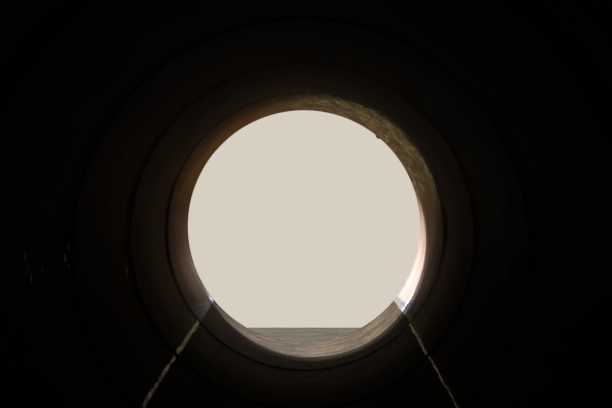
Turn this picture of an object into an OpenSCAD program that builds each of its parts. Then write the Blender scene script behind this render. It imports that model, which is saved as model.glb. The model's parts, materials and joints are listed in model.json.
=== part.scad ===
// Outlet end of a precast concrete pipe culvert: six spigot-and-socket pipes
// laid end to end, with a plain headwall, splayed wing walls and an apron at
// the outlet. Millimetres. +Z is up and the barrel runs along Y, its outlet at
// +Y. The origin is on the ground, under the barrel's axis, at the middle of
// the headwall's thickness. The pipes lie on their sockets, at ground level.

/* [Pipes] */
// Inside diameter of the pipes
bore_d = 1500; // [1200:10:1600]
// Wall thickness of the pipes
wall_t = 140; // [115:1:160]
// Laying length of one pipe, joint to joint
pipe_l = 2440; // [1800:10:3000]

/* [Joints] */
// Depth of the socket that takes the next pipe's spigot
socket_depth = 100; // [95:1:130]
// Radial clearance between spigot and socket
socket_gap = 10; // [8:0.5:12]
// Wall thickness of the socket
socket_t = 130; // [110:1:150]
// Length of the socket at its full outside diameter
socket_l = 250; // [220:5:320]
// Length of the cone from the socket down to the pipe's barrel
socket_taper_l = 130; // [80:5:200]
// Open gap between two pipe ends, seen as a dark ring from inside
joint_gap = 24; // [12:1:30]
// Chamfer on the inside edge of each pipe end
inner_chamfer = 14; // [6:1:16]
// Chamfer on the socket's mouth, inside
mouth_chamfer = 12; // [6:1:14]
// Chamfer on the socket's mouth, outside
rim_chamfer = 20; // [8:1:24]
// Width of the groove that holds the rubber ring
ring_groove_w = 34; // [32:1:40]
// Depth of that groove in the spigot
ring_groove_t = 8; // [6:0.5:10]
// Width of the pressed rubber ring
ring_w = 26; // [20:1:30]

/* [Headwall] */
// Width of the headwall
headwall_w = 3000; // [2950:10:3400]
// Thickness of the headwall
headwall_t = 300; // [250:10:400]
// Height of the headwall's stem above the ground
headwall_h = 2350; // [2150:10:2600]
// Height of the coping on the headwall
coping_h = 150; // [100:5:200]
// Overhang of the coping on every side
coping_over = 50; // [20:5:80]
// Chamfer along the coping's top edges
coping_chamfer = 20; // [8:1:30]
// Width of the mortar ring between the pipe and the headwall
collar_t = 40; // [25:1:50]
// Setback of the mortar ring from the headwall's outlet face
collar_setback = 8; // [4:1:20]

/* [Wing walls] */
// Half the clear width between the wing walls at the headwall
wing_start = 1150; // [1100:10:1180]
// Length of a wing wall along its inner face
wing_l = 2700; // [2000:10:3200]
// Thickness of a wing wall
wing_t = 250; // [200:5:260]
// Angle between a wing wall and the barrel's axis, seen from above
wing_splay = 35; // [25:1:40]
// Height of a wing wall at its low end
wing_end_h = 1000; // [700:10:1400]
// Height of the coping on a wing wall
wing_coping_h = 110; // [80:5:130]

/* [Apron] */
// Drop from the pipe's invert to the top of the apron
apron_drop = 30; // [10:1:60]
// Width of the toe beam along the apron's edge
toe_w = 200; // [150:10:300]

/* [Hidden] */

$fn = 180;

bore_r = bore_d / 2;
barrel_r = bore_r + wall_t;
socket_r = barrel_r + socket_gap;
socket_or = socket_r + socket_t;
axis_z = socket_or;                 // the sockets rest on the ground
outlet_y = headwall_t / 2;          // pipe 1 ends flush with the outlet face
body_l = pipe_l - joint_gap;        // end of the bore, at the socket's shoulder
mouth_l = pipe_l + socket_depth;    // mouth of the socket
ring_at = 45;                       // start of the ring's groove on the spigot
collar_r = barrel_r + collar_t;
apron_top = axis_z - bore_r - apron_drop;

concrete = "#a39c90";
concrete_warm = "#9b9181";
concrete_pale = "#b4afa5";
mortar = "#8f8a80";
rubber_black = "#26262a";

// Half section of a pipe: x is the radius, y runs from the downstream end
// up to the socket's mouth.
function pipe_section(spigot) = concat(
    [
        [bore_r + inner_chamfer, 0],
        [bore_r, inner_chamfer],
        [bore_r, body_l - inner_chamfer],
        [bore_r + inner_chamfer, body_l],
        [socket_r, body_l],
        [socket_r, mouth_l - mouth_chamfer],
        [socket_r + mouth_chamfer, mouth_l],
        [socket_or - rim_chamfer, mouth_l],
        [socket_or, mouth_l - rim_chamfer],
        [socket_or, mouth_l - socket_l],
        [barrel_r, mouth_l - socket_l - socket_taper_l]
    ],
    spigot ? [
        [barrel_r, ring_at + ring_groove_w],
        [barrel_r - ring_groove_t, ring_at + ring_groove_w],
        [barrel_r - ring_groove_t, ring_at],
        [barrel_r, ring_at],
        [barrel_r, 30],
        [barrel_r - 15, 0]
    ] : [
        [barrel_r, 0]
    ]
);

// Places a solid made along +Z so that it runs upstream from the end of the
// pipe at the given place in the row.
module along_barrel(place) {
    translate([0, outlet_y - (place - 1) * pipe_l, axis_z])
        rotate([90, 0, 0])
            children();
}

module pipe(place, spigot) {
    color(place % 2 == 0 ? concrete_warm : concrete)
        along_barrel(place)
            rotate_extrude()
                polygon(pipe_section(spigot));
}

// The rubber ring on the spigot of pipe place + 1, pressed between the two.
module joint_ring(place) {
    x0 = barrel_r - ring_groove_t;
    x1 = socket_r;
    y0 = ring_at + (ring_groove_w - ring_w) / 2;
    y1 = y0 + ring_w;
    c = 5;
    color(rubber_black)
        along_barrel(place + 1)
            rotate_extrude()
                polygon([
                    [x0, y0 + c], [x0 + c, y0], [x1 - c, y0], [x1, y0 + c],
                    [x1, y1 - c], [x1 - c, y1], [x0 + c, y1], [x0, y1 - c]
                ]);
}

module headwall() {
    color(concrete_pale)
        difference() {
            translate([-headwall_w / 2, -headwall_t / 2, 0])
                cube([headwall_w, headwall_t, headwall_h]);
            translate([0, headwall_t / 2 + 1, axis_z])
                rotate([90, 0, 0])
                    cylinder(r = collar_r, h = headwall_t + 2);
        }
}

// The coping is a bar along X with its two long top edges chamfered.
module headwall_coping() {
    y = headwall_t / 2 + coping_over;
    l = headwall_w + 2 * coping_over;
    c = coping_chamfer;
    color(concrete_pale)
        translate([-l / 2, 0, headwall_h])
            rotate([90, 0, 90])
                linear_extrude(height = l)
                    polygon([
                        [-y, 0], [y, 0], [y, coping_h - c], [y - c, coping_h],
                        [-y + c, coping_h], [-y, coping_h - c]
                    ]);
}

module outlet_collar() {
    color(mortar)
        translate([0, outlet_y - collar_setback, axis_z])
            rotate([90, 0, 0])
                difference() {
                    cylinder(r = collar_r, h = headwall_t - collar_setback);
                    translate([0, 0, -1])
                        cylinder(r = barrel_r, h = headwall_t - collar_setback + 2);
                }
}

// Everything in front of the plane y, on the right-hand side.
module in_front_of(y) {
    translate([0, y, -1])
        cube([8000, 8000, 4000]);
}

// A bar along the right wing wall: side is its outline seen square to the
// wall, as distance along the wall and height, and it reaches from w0 to w1
// across the wall, 0 being the inner face.
module wing_bar(side, w0, w1) {
    translate([wing_start, outlet_y, 0])
        rotate([0, 0, 90 - wing_splay])
            translate([0, -w0, 0])
                rotate([90, 0, 0])
                    linear_extrude(height = w1 - w0)
                        polygon(side);
}

// Height of the wing wall's top at distance s along its inner face
function wing_top(s) = headwall_h - (headwall_h - wing_end_h) * s / wing_l;

module wing_wall() {
    intersection() {
        wing_bar([
            [-400, 0], [wing_l, 0], [wing_l, wing_top(wing_l)],
            [0, wing_top(0)], [-400, wing_top(0)]
        ], 0, wing_t);
        in_front_of(outlet_y);
    }
}

module wing_coping() {
    e = wing_l + coping_over;
    intersection() {
        wing_bar([
            [0, wing_top(0)], [e, wing_top(e)],
            [e, wing_top(e) + wing_coping_h], [0, wing_top(0) + wing_coping_h]
        ], -coping_over, wing_t + coping_over);
        in_front_of(outlet_y + coping_over);
    }
}

module wing_wall_right() {
    color(concrete_pale) wing_wall();
}

module wing_wall_left() {
    color(concrete_pale) mirror([1, 0, 0]) wing_wall();
}

module wing_coping_right() {
    color(concrete_pale) wing_coping();
}

module wing_coping_left() {
    color(concrete_pale) mirror([1, 0, 0]) wing_coping();
}

// The apron fills the ground between the wing walls.
apron_l = wing_l * cos(wing_splay);
apron_x = wing_start + wing_l * sin(wing_splay);

module apron() {
    color(concrete_warm)
        linear_extrude(height = apron_top)
            polygon([
                [-wing_start, outlet_y], [wing_start, outlet_y],
                [apron_x, outlet_y + apron_l], [-apron_x, outlet_y + apron_l]
            ]);
}

module apron_toe() {
    color(concrete)
        translate([-apron_x, outlet_y + apron_l, 0])
            cube([2 * apron_x, toe_w, apron_top]);
}

pipe(1, false);  // pipe_1
pipe(2, true);  // pipe_2
pipe(3, true);  // pipe_3
pipe(4, true);  // pipe_4
pipe(5, true);  // pipe_5
pipe(6, true);  // pipe_6
joint_ring(1);  // joint_ring_1
joint_ring(2);  // joint_ring_2
joint_ring(3);  // joint_ring_3
joint_ring(4);  // joint_ring_4
joint_ring(5);  // joint_ring_5
headwall();
headwall_coping();
outlet_collar();
wing_wall_left();
wing_wall_right();
wing_coping_left();
wing_coping_right();
apron();
apron_toe();
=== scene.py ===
# Weathered precast concrete pipe culvert with its headwall. Metres, +Z up, the
# barrel along Y with its outlet at +Y.
import json
import math

import bmesh
import bpy
import numpy as np
from mathutils import Matrix, Vector

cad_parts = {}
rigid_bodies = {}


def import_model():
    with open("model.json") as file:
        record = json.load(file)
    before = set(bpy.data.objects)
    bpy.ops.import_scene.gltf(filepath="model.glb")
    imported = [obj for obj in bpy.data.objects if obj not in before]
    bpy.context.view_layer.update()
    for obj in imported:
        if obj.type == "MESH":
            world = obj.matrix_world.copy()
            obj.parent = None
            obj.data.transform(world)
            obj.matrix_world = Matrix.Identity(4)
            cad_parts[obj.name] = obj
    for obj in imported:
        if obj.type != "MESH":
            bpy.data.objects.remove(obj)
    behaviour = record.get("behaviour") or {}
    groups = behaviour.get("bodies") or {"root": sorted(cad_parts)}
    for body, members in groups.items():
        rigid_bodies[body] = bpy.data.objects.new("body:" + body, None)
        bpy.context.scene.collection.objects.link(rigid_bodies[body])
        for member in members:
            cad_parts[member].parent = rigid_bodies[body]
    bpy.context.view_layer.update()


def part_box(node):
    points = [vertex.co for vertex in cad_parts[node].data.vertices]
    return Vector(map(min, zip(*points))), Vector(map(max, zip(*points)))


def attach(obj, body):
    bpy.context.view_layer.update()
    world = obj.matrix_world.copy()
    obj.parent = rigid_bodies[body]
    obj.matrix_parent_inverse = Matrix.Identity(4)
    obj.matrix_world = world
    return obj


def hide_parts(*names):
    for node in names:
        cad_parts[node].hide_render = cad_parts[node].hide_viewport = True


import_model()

# ---------------------------------------------------------------- sizes
p1_lo, p1_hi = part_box("pipe_1")
p2_lo, p2_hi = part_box("pipe_2")
hw_lo, hw_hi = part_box("headwall")
OUT = p1_hi.y  # the outlet's plane
AX = (p1_lo.z + p1_hi.z) / 2  # height of the barrel's axis
RB = (p1_hi.z - p1_lo.z) / 2  # socket, outside
L = p1_hi.y - p2_hi.y  # laying length
DEPTH = (p1_hi.y - p1_lo.y) - L  # socket depth
WALL = 0.140
GAP = 0.024
R = 0.750
RO = R + WALL
RS = RO + 0.010
SOCKET_L, TAPER_L = 0.250, 0.130
RING_AT, RING_W, RING_T = 0.045, 0.034, 0.008
COLLAR_R = RO + 0.040
WING_START, WING_L, WING_T = 1.150, 2.700, 0.250
SPLAY = math.radians(35)
WING_END_H, WING_COPING_H, COPING_OVER = 1.000, 0.110, 0.050


# ---------------------------------------------------------------- numeric noise
def _hash(ix, iy, iz, seed):
    m = np.uint64(0xFFFFFFFF)
    h = (
        ix.astype(np.uint64) * np.uint64(374761393)
        + iy.astype(np.uint64) * np.uint64(668265263)
        + iz.astype(np.uint64) * np.uint64(2147483647)
        + np.uint64(seed * 1274126177 + 12345)
    ) & m
    h = ((h ^ (h >> np.uint64(13))) * np.uint64(1274126177)) & m
    h = ((h ^ (h >> np.uint64(16))) * np.uint64(2246822519)) & m
    return h ^ (h >> np.uint64(15))


def noise3(p, seed=0):
    """Gradient noise, about -1 to 1, at points p (n, 3)."""
    p = np.asarray(p, float) + 500.0
    i = np.floor(p).astype(np.int64)
    f = p - i
    u = f * f * f * (f * (f * 6 - 15) + 10)
    total = np.zeros(len(p))
    for dx in (0, 1):
        for dy in (0, 1):
            for dz in (0, 1):
                h = _hash(i[:, 0] + dx, i[:, 1] + dy, i[:, 2] + dz, seed)
                gx = (h & np.uint64(1023)).astype(float) / 511.5 - 1
                gy = ((h >> np.uint64(10)) & np.uint64(1023)).astype(float) / 511.5 - 1
                gz = ((h >> np.uint64(20)) & np.uint64(1023)).astype(float) / 511.5 - 1
                w = (
                    (u[:, 0] if dx else 1 - u[:, 0])
                    * (u[:, 1] if dy else 1 - u[:, 1])
                    * (u[:, 2] if dz else 1 - u[:, 2])
                )
                total += w * (
                    gx * (f[:, 0] - dx) + gy * (f[:, 1] - dy) + gz * (f[:, 2] - dz)
                )
    return total * 1.25


def fbm(p, seed=0, octaves=3, gain=0.5):
    total, amp, norm = 0.0, 1.0, 0.0
    for k in range(octaves):
        total = total + amp * noise3(p * (2.03**k), seed + 17 * k)
        norm += amp
        amp *= gain
    return total / norm


def smooth(x, a, b):
    x = np.clip((x - a) / (b - a), 0, 1)
    return x * x * (3 - 2 * x)


# ---------------------------------------------------------------- mesh helpers
def volume_of(v, quads):
    a, b, c, d = (v[quads[:, k]] for k in range(4))
    return (
        np.einsum("ij,ij->i", a, np.cross(b, c)).sum()
        + np.einsum("ij,ij->i", a, np.cross(c, d)).sum()
    ) / 6


def make_object(name, v, quads, mat_index=None, materials=(), sharp=35.0):
    me = bpy.data.meshes.new(name)
    n = len(quads)
    me.vertices.add(len(v))
    me.vertices.foreach_set("co", np.asarray(v, np.float32).ravel())
    me.loops.add(4 * n)
    me.loops.foreach_set("vertex_index", np.asarray(quads, np.int32).ravel())
    me.polygons.add(n)
    me.polygons.foreach_set("loop_start", np.arange(0, 4 * n, 4, dtype=np.int32))
    me.polygons.foreach_set("loop_total", np.full(n, 4, np.int32))
    for m in materials:
        me.materials.append(m)
    if mat_index is not None:
        me.polygons.foreach_set("material_index", np.asarray(mat_index, np.int32))
    me.update(calc_edges=True)
    me.validate()
    me.polygons.foreach_set("use_smooth", np.ones(n, bool))
    me.set_sharp_from_angle(angle=math.radians(sharp))
    ob = bpy.data.objects.new(name, me)
    bpy.context.scene.collection.objects.link(ob)
    return ob


def wrap(d):
    return (d + math.pi) % (2 * math.pi) - math.pi


def chips(rng, theta, radius, count, wide, deep):
    """Depth of broken bits along a round edge, at each angle."""
    out = np.zeros(len(theta))
    for _ in range(count):
        at = rng.uniform(-math.pi, math.pi)
        half = rng.uniform(*wide) / radius
        depth = rng.uniform(*deep)
        skew = rng.uniform(-0.4, 0.4)
        d = wrap(theta - at) / half
        d = d + skew * (1 - d * d) * (np.abs(d) < 1)
        out = np.maximum(out, depth * np.sqrt(np.clip(1 - d * d, 0, 1)))
    return out


# ---------------------------------------------------------------- turned shapes
def turned(name, corners, n, y_end, materials, shape=None, sharp=35.0):
    """A closed ring turned about the barrel's axis. corners is a list of
    (r, t, cut, bulge, steps, slot): a corner of the half section, how much of
    it is cut off at each angle, how round the cut is, and the rows and the
    material slot of the face that follows it. t runs upstream from y_end."""
    theta = np.linspace(-math.pi, math.pi, n, endpoint=False)
    k = len(corners)
    pts = [np.array(c[:2]) for c in corners]
    a_pts, m_pts, b_pts = [], [], []
    for i, (_, _, cut, bulge, _, _) in enumerate(corners):
        cut = np.broadcast_to(np.asarray(cut, float), (n,))[:, None]
        u_in = pts[i] - pts[i - 1]
        u_in = u_in / np.linalg.norm(u_in)
        u_out = pts[(i + 1) % k] - pts[i]
        u_out = u_out / np.linalg.norm(u_out)
        a, b = pts[i] - cut * u_in, pts[i] + cut * u_out
        mid = (a + b) / 2
        a_pts.append(a)
        b_pts.append(b)
        m_pts.append(mid + bulge * (pts[i] - mid))
    rows, edge, slot_of = [], [], []
    for i, (_, _, _, _, steps, slot) in enumerate(corners):
        a, b = b_pts[i], a_pts[(i + 1) % k]
        rows += [a_pts[i], m_pts[i], b_pts[i]]
        edge += [i - 0.5, i - 0.5, i]
        slot_of += [min(corners[i - 1][5], slot)] * 2
        slot_of += [slot]
        for f in steps:
            rows.append(a + f * (b - a))
            edge.append(i)
            slot_of.append(slot)
    prof = np.stack(rows, axis=1)  # (n, rows, 2)
    m = prof.shape[1]
    th = np.repeat(theta[:, None], m, axis=1)
    r, t = prof[..., 0].copy(), prof[..., 1].copy()
    if shape is not None:
        r, t = shape(th, r, t, np.array(edge))
    x, z, y = r * np.cos(th), AX + r * np.sin(th), y_end - t
    v = np.stack([x, y, z], axis=-1).reshape(-1, 3)
    j = np.arange(n)[:, None] * m
    j2 = ((np.arange(n) + 1) % n)[:, None] * m
    c = np.arange(m)[None, :]
    c2 = (np.arange(m) + 1) % m
    quads = np.stack(
        [(j + c), (j2 + c), (j2 + c2[None, :]), (j + c2[None, :])], axis=-1
    ).reshape(-1, 4)
    slots = np.broadcast_to(np.array(slot_of)[None, :], (n, m)).reshape(-1)
    if volume_of(v, quads) < 0:
        quads = quads[:, ::-1]
    return make_object(name, v, quads, slots, materials, sharp)


def even(count):
    return [(i + 1) / (count + 1) for i in range(count)]


def ends_fine(count, fine, length):
    """Fractions with a few close rows near each end."""
    near = [d / length for d in fine]
    a, b = near[-1], 1 - near[-1]
    mid = [a + (b - a) * (i + 1) / (count + 1) for i in range(count)]
    return near + mid + [1 - d for d in reversed(near)]


# ---------------------------------------------------------------- node helper
class Mat:
    def __init__(self, name):
        self.m = bpy.data.materials.new(name)
        self.m.use_nodes = True
        self.nt = self.m.node_tree
        self.nt.nodes.clear()
        self.bsdf = self.nt.nodes.new("ShaderNodeBsdfPrincipled")
        self.out = self.nt.nodes.new("ShaderNodeOutputMaterial")
        self.nt.links.new(self.bsdf.outputs["BSDF"], self.out.inputs["Surface"])
        tc = self.nt.nodes.new("ShaderNodeTexCoord")
        self.p = tc.outputs["Object"]

    def put(self, value, socket):
        if isinstance(value, bpy.types.NodeSocket):
            self.nt.links.new(value, socket)
        elif isinstance(value, (tuple, list)):
            v = list(value)
            if len(socket.default_value) == 4 and len(v) == 3:
                v.append(1.0)
            socket.default_value = v
        else:
            socket.default_value = value

    def math(self, op, a, b=None, c=None, clamp=False):
        n = self.nt.nodes.new("ShaderNodeMath")
        n.operation = op
        n.use_clamp = clamp
        for value, s in zip((a, b, c), n.inputs):
            if value is not None:
                self.put(value, s)
        return n.outputs[0]

    def add(self, a, b):
        return self.math("ADD", a, b)

    def sub(self, a, b):
        return self.math("SUBTRACT", a, b)

    def mul(self, a, b):
        return self.math("MULTIPLY", a, b)

    def xyz(self, v):
        n = self.nt.nodes.new("ShaderNodeSeparateXYZ")
        self.put(v, n.inputs[0])
        return n.outputs[0], n.outputs[1], n.outputs[2]

    def vec(self, x, y, z):
        n = self.nt.nodes.new("ShaderNodeCombineXYZ")
        for value, s in zip((x, y, z), n.inputs):
            self.put(value, s)
        return n.outputs[0]

    def scaled(self, v, s):
        n = self.nt.nodes.new("ShaderNodeVectorMath")
        n.operation = "MULTIPLY"
        self.put(v, n.inputs[0])
        self.put(s, n.inputs[1])
        return n.outputs[0]

    def noise(self, scale, detail=3.0, rough=0.55, v=None, distort=0.0):
        n = self.nt.nodes.new("ShaderNodeTexNoise")
        self.put(self.p if v is None else v, n.inputs["Vector"])
        n.inputs["Scale"].default_value = scale
        n.inputs["Detail"].default_value = detail
        n.inputs["Roughness"].default_value = rough
        n.inputs["Distortion"].default_value = distort
        return n.outputs["Fac"] if "Fac" in n.outputs else n.outputs[0]

    def voronoi(self, scale, v=None, feature="F1", rand=1.0):
        n = self.nt.nodes.new("ShaderNodeTexVoronoi")
        n.feature = feature
        self.put(self.p if v is None else v, n.inputs["Vector"])
        n.inputs["Scale"].default_value = scale
        n.inputs["Randomness"].default_value = rand
        return n.outputs["Distance"], n.outputs["Color"] if feature == "F1" else None

    def step(self, v, a, b, lo=0.0, hi=1.0):
        """Smooth step from lo at a to hi at b."""
        n = self.nt.nodes.new("ShaderNodeMapRange")
        n.interpolation_type = "SMOOTHSTEP"
        if a > b:
            a, b, lo, hi = b, a, hi, lo
        self.put(v, n.inputs["Value"])
        self.put(a, n.inputs["From Min"])
        self.put(b, n.inputs["From Max"])
        self.put(lo, n.inputs["To Min"])
        self.put(hi, n.inputs["To Max"])
        return n.outputs["Result"]

    def line(self, v, a, b, lo, hi):
        n = self.nt.nodes.new("ShaderNodeMapRange")
        n.interpolation_type = "LINEAR"
        self.put(v, n.inputs["Value"])
        self.put(a, n.inputs["From Min"])
        self.put(b, n.inputs["From Max"])
        self.put(lo, n.inputs["To Min"])
        self.put(hi, n.inputs["To Max"])
        return n.outputs["Result"]

    def mix(self, fac, a, b, blend="MIX"):
        n = self.nt.nodes.new("ShaderNodeMix")
        n.data_type = "RGBA"
        n.blend_type = blend
        n.clamp_factor = True
        self.put(fac, n.inputs[0])
        self.put(a, n.inputs[6])
        self.put(b, n.inputs[7])
        return n.outputs[2]

    def ramp(self, fac, stops):
        n = self.nt.nodes.new("ShaderNodeValToRGB")
        e = n.color_ramp.elements
        while len(e) < len(stops):
            e.new(0.5)
        for el, (pos, col) in zip(e, stops):
            el.position = pos
            el.color = (*col, 1.0) if not isinstance(col, float) else (col,) * 3 + (1,)
        self.put(fac, n.inputs[0])
        return n.outputs[0]

    def bump(self, height, distance, strength=1.0, normal=None):
        n = self.nt.nodes.new("ShaderNodeBump")
        n.inputs["Strength"].default_value = strength
        n.inputs["Distance"].default_value = distance
        self.put(height, n.inputs["Height"])
        if normal is not None:
            self.put(normal, n.inputs["Normal"])
        return n.outputs[0]

    def finish(self, color, rough, normal=None, gloss=0.25):
        self.put(color, self.bsdf.inputs["Base Color"])
        self.put(rough, self.bsdf.inputs["Roughness"])
        if normal is not None:
            self.put(normal, self.bsdf.inputs["Normal"])
        self.bsdf.inputs["Specular IOR Level"].default_value = gloss
        return self.m


# ---------------------------------------------------------------- materials
def concrete_colour(g, dark, mid, light, seedshift=0.0):
    """Mottled concrete, at three scales."""
    x, y, z = g.xyz(g.p)
    v = g.vec(g.add(x, seedshift), y, z)
    big = g.noise(1.3, 3, 0.6, v)
    med = g.noise(7.0, 4, 0.6, v)
    fine = g.noise(60.0, 3, 0.65, v)
    f = g.add(g.mul(big, 0.55), g.add(g.mul(med, 0.3), g.mul(fine, 0.15)))
    return g.ramp(f, [(0.36, dark), (0.5, mid), (0.63, light)]), big, med, fine


def pits(g, scale, share, v=None):
    """1 in a few round pits, 0 elsewhere."""
    d, col = g.voronoi(scale, v)
    r, _, _ = g.xyz(col)
    size = g.line(r, 1 - share, 1.0, 0.0, 0.42)
    return g.step(g.sub(size, d), 0.0, 0.12)


def blotch(g, t, zr, x, spots):
    """Places on the bore's wall, each at a distance from the outlet and a
    height from the axis on one side: 1 in the middle, 0 outside."""
    total = None
    for t0, z0, side, half_t, half_z, strength in spots:
        dt = g.math("DIVIDE", g.sub(t, t0), half_t)
        dz = g.math("DIVIDE", g.sub(zr, z0), half_z)
        d = g.math("SQRT", g.add(g.mul(dt, dt), g.mul(dz, dz)))
        m = g.mul(g.step(d, 1.0, 0.2), strength)
        m = g.mul(m, g.step(g.mul(x, side), 0.0, 0.1))
        total = m if total is None else g.math("MAXIMUM", total, m)
    return total


def bore_material():
    g = Mat("bore_concrete")
    x, y, z = g.xyz(g.p)
    zr = g.sub(z, AX)
    t = g.sub(OUT, y)
    # ochre over the upper wall on the left, browner on the right, and a
    # pinkish grey low down near the outlet
    warm, big, med, fine = concrete_colour(
        g, (0.156, 0.068, 0.012), (0.258, 0.123, 0.026), (0.358, 0.190, 0.052)
    )
    mottle = g.add(g.mul(big, 0.55), g.add(g.mul(med, 0.3), g.mul(fine, 0.15)))
    brown = g.ramp(
        mottle,
        [(0.36, (0.155, 0.084, 0.038)), (0.5, (0.241, 0.143, 0.070)), (0.63, (0.332, 0.216, 0.118))],
    )
    grey = g.ramp(
        mottle,
        [(0.36, (0.300, 0.234, 0.225)), (0.5, (0.430, 0.352, 0.348)), (0.63, (0.530, 0.452, 0.452))],
    )
    base = g.mix(g.step(x, -0.30, 0.35), warm, brown)
    reach = g.step(x, -0.30, 0.30, 0.0, 1.10)
    low = g.step(g.add(zr, g.step(x, -0.30, 0.30, 0.0, 0.10)), 0.22, -0.30)
    low = g.mul(low, g.step(g.sub(t, reach), 2.1, 0.2, 0.25, 1.0))
    # painted glow: the low right wall just past the sun patch is made paler, standing in for sunlight thrown up from
    # the water
    painted_glow_past_sun = g.mul(g.step(t, 1.05, 1.35), g.step(t, 2.5, 1.8))
    painted_glow_past_sun = g.mul(painted_glow_past_sun, g.mul(g.step(x, 0.25, 0.50), g.step(zr, -0.10, -0.35)))
    lift = g.add(g.step(x, 0.30, -0.40, 0.88, 1.25), g.mul(painted_glow_past_sun, 0.75))
    base = g.mix(low, base, g.mix(1.0, grey, g.vec(lift, lift, lift), "MULTIPLY"))
    # painted sunlit strip: low on the left just inside the outlet the wall is made near white
    rim = g.mul(g.step(t, 0.62, 0.10), g.mul(g.step(x, 0.0, -0.40), g.step(zr, -0.08, -0.28)))
    base = g.mix(rim, base, (0.90, 0.83, 0.82))
    # painted sunlight: paler on the right near the outlet, where the sun patch falls
    painted_sun_lift_right = g.mul(g.step(t, 1.1, 0.2), g.mul(g.step(x, 0.30, 0.60), g.step(zr, 0.40, 0.0)))
    base = g.mix(g.mul(painted_sun_lift_right, 0.30), base, (0.52, 0.42, 0.40))
    # painted shade: darker on the left at mid-height, over the last pipe and a little into the next, where the light
    # from the outlet falls off
    painted_shade_left = g.mul(g.step(x, 0.10, -0.30), g.step(g.math("ABSOLUTE", g.sub(zr, 0.03)), 0.30, 0.08))
    painted_shade_left = g.mul(painted_shade_left, g.line(t, 0.0, 2.2, 0.45, 0.60))
    painted_shade_left = g.mul(painted_shade_left, g.step(t, L + 0.9, L - 0.1))
    base = g.mix(painted_shade_left, base, (0.075, 0.038, 0.016))
    # darker low on the right further in, paler high on the left
    low_right = g.mul(g.step(x, 0.20, 0.50), g.mul(g.step(zr, 0.10, -0.20), g.step(t, 2.9, 4.2)))
    base = g.mix(g.mul(low_right, 0.50), base, (0.040, 0.026, 0.012))
    high_left = g.mul(g.step(x, -0.20, -0.45), g.step(g.math("ABSOLUTE", g.sub(zr, 0.30)), 0.26, 0.08))
    high_left = g.mul(high_left, g.step(t, 3.4, 4.4))
    base = g.mix(g.mul(high_left, 0.60), base, (0.480, 0.260, 0.110))
    # faint rings left by the casting, and each pipe a little different
    ring = g.noise(1.0, 3, 0.7, g.scaled(g.p, (0.22, 6.0, 0.22)))
    base = g.mix(g.step(ring, 0.62, 0.40, 0.0, 0.22), base, (0.120, 0.080, 0.050))
    place = g.math("FLOOR", g.math("DIVIDE", t, L))
    wn = g.nt.nodes.new("ShaderNodeTexWhiteNoise")
    wn.noise_dimensions = "1D"
    g.put(place, wn.inputs["W"])
    tint = g.line(wn.outputs["Value"], 0.0, 1.0, 0.88, 1.10)
    base = g.mix(1.0, base, g.vec(tint, tint, tint), "MULTIPLY")
    # a darker ring two thirds along the third pipe
    d6 = g.math("ABSOLUTE", g.sub(t, g.add(6.20, g.mul(g.sub(big, 0.5), 0.12))))
    base = g.mix(g.step(d6, 0.085, 0.015, 0.0, 0.38), base, (0.070, 0.048, 0.032))
    # thin runs down the wall, broken up
    thin = g.noise(1.0, 3, 0.6, g.scaled(g.p, (2.6, 44.0, 2.6)))
    where = g.noise(2.4, 3, 0.6)
    runs = g.mul(g.step(thin, 0.50, 0.78), g.step(where, 0.42, 0.68))
    base = g.mix(g.mul(runs, 0.40), base, (0.105, 0.070, 0.044))
    pale_thin = g.noise(1.0, 3, 0.6, g.scaled(g.p, (3.1, 52.0, 3.4)))
    pale_runs = g.mul(g.step(pale_thin, 0.52, 0.80), g.step(where, 0.58, 0.36))
    base = g.mix(g.mul(pale_runs, 0.30), base, (0.42, 0.31, 0.19))
    # mottled pale film over the crown and the right of the last pipe, partly a real film and partly painted dapples of
    # sunlight thrown up from the water
    film_n = g.noise(1.0, 5, 0.72, g.scaled(g.p, (13.0, 2.6, 13.0)), 0.9)
    film_b = g.noise(3.4, 3, 0.6)
    round_to = g.math("ARCTAN2", zr, x)
    sector = g.mul(g.step(round_to, 0.10, 0.50), g.step(round_to, 1.95, 1.40))
    past = g.step(round_to, 0.45, 1.0, 0.12, 0.42)
    near = g.math("DIVIDE", g.sub(t, L - 0.02), past)
    near = g.mul(g.step(near, 1.0, 0.0), sector)
    film_and_painted_dapples = g.mul(g.step(film_n, 0.42, 0.62), g.mul(near, g.step(film_b, 0.28, 0.52)))
    further = g.step(t, 0.6, 1.7)
    under = g.mix(further, (0.185, 0.120, 0.052), (0.225, 0.160, 0.068))
    over = g.mix(further, (0.465, 0.355, 0.175), (0.590, 0.480, 0.220))
    base = g.mix(g.mul(near, 0.75), base, under)
    base = g.mix(g.mul(film_and_painted_dapples, 0.90), base, over)
    # brighter flecks, most of them beside the joint; those in the film are painted glints of sunlight thrown up from
    # the water
    by_joint = g.step(t, L - 0.60, L - 0.10)
    fleck_n = g.noise(1.0, 4, 0.70, g.scaled(g.p, (24.0, 3.6, 24.0)), 0.7)
    by_joint = g.mul(by_joint, g.step(t, L + 0.10, L - 0.01))
    fleck_n = g.add(fleck_n, g.mul(by_joint, 0.08))
    fleck_and_glint = g.mul(g.step(fleck_n, 0.545, 0.635), g.mul(near, g.add(g.mul(film_and_painted_dapples, 0.7), g.mul(by_joint, 0.3))))
    base = g.mix(g.mul(fleck_and_glint, 0.92), base, (0.90, 0.82, 0.60))
    patch = g.step(g.noise(3.2, 5, 0.7), 0.54, 0.80, 0.0, 0.35)
    base = g.mix(patch, base, (0.40, 0.29, 0.175))
    dark_patch = g.step(g.noise(2.3, 5, 0.7, g.scaled(g.p, (1.0, 1.3, -1.0))), 0.54, 0.80, 0.0, 0.50)
    base = g.mix(dark_patch, base, (0.110, 0.069, 0.037))
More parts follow.
